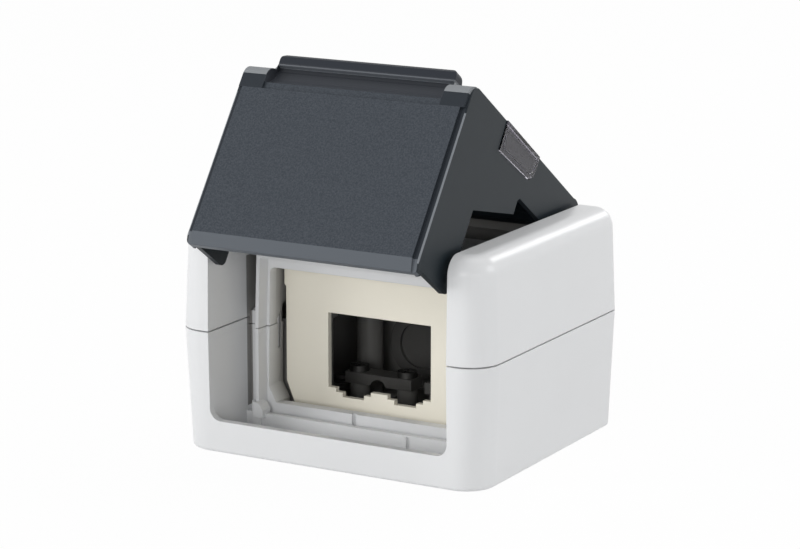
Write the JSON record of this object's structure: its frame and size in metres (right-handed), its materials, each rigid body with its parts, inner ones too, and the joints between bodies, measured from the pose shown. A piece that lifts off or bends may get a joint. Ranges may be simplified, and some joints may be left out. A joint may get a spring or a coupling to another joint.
{
  "type": "surface mount jack box",
  "caption": "Surface mount jack box with two moulded shells, a hinged splash lid with a label window, and a set-back plate with a cut-out for two jacks.",
  "frame": {"origin": "middle of the base that goes against the wall, half way across the width and the depth of the housing", "axes": "+X to the right seen from the open front, +Y from the open front to the hinge side, +Z from the base towards the lid"},
  "size_m": [0.0888, 0.0858, 0.0991],
  "materials": {
    "housing": "glossy light grey ABS",
    "lid": "slate grey ABS, fine grain on the flap and semi-gloss sides",
    "plate": "satin ivory ABS",
    "window": "clear moulded polycarbonate",
    "card": "dark printed card",
    "seal": "black soft rubber",
    "clamp": "grey nylon",
    "steel": "zinc-plated steel"
  },
  "bodies": {
    "housing": {"lower_shell": "housing", "upper_shell": "housing", "module_plate": "plate", "shell_gasket": "seal", "shell_screw_1": "steel", "shell_screw_2": "steel", "shell_screw_3": "steel", "shell_screw_4": "steel", "clamp_screw_1": "steel", "clamp_screw_2": "steel", "clamp_screw_3": "steel", "clamp_screw_4": "steel", "fixing_seal_1": "seal", "fixing_seal_2": "seal", "fixing_seal_3": "seal", "fixing_seal_4": "seal", "cable_grommet_left": "seal", "cable_grommet_right": "seal", "cable_clamp_left": "clamp", "cable_clamp_right": "clamp"},
    "lid_body": {"lid": "lid", "label_window": "window", "label_card": "card", "hinge_pin_left": "steel", "hinge_pin_right": "steel"}
  },
  "joints": [
    {"name": "lid_hinge", "type": "hinge", "parent": "housing", "child": "lid_body", "pos_m": [0, 0.033, 0.0557], "axis": [-1, 0, 0], "range_deg": [-34.7, 65]}
  ]
}
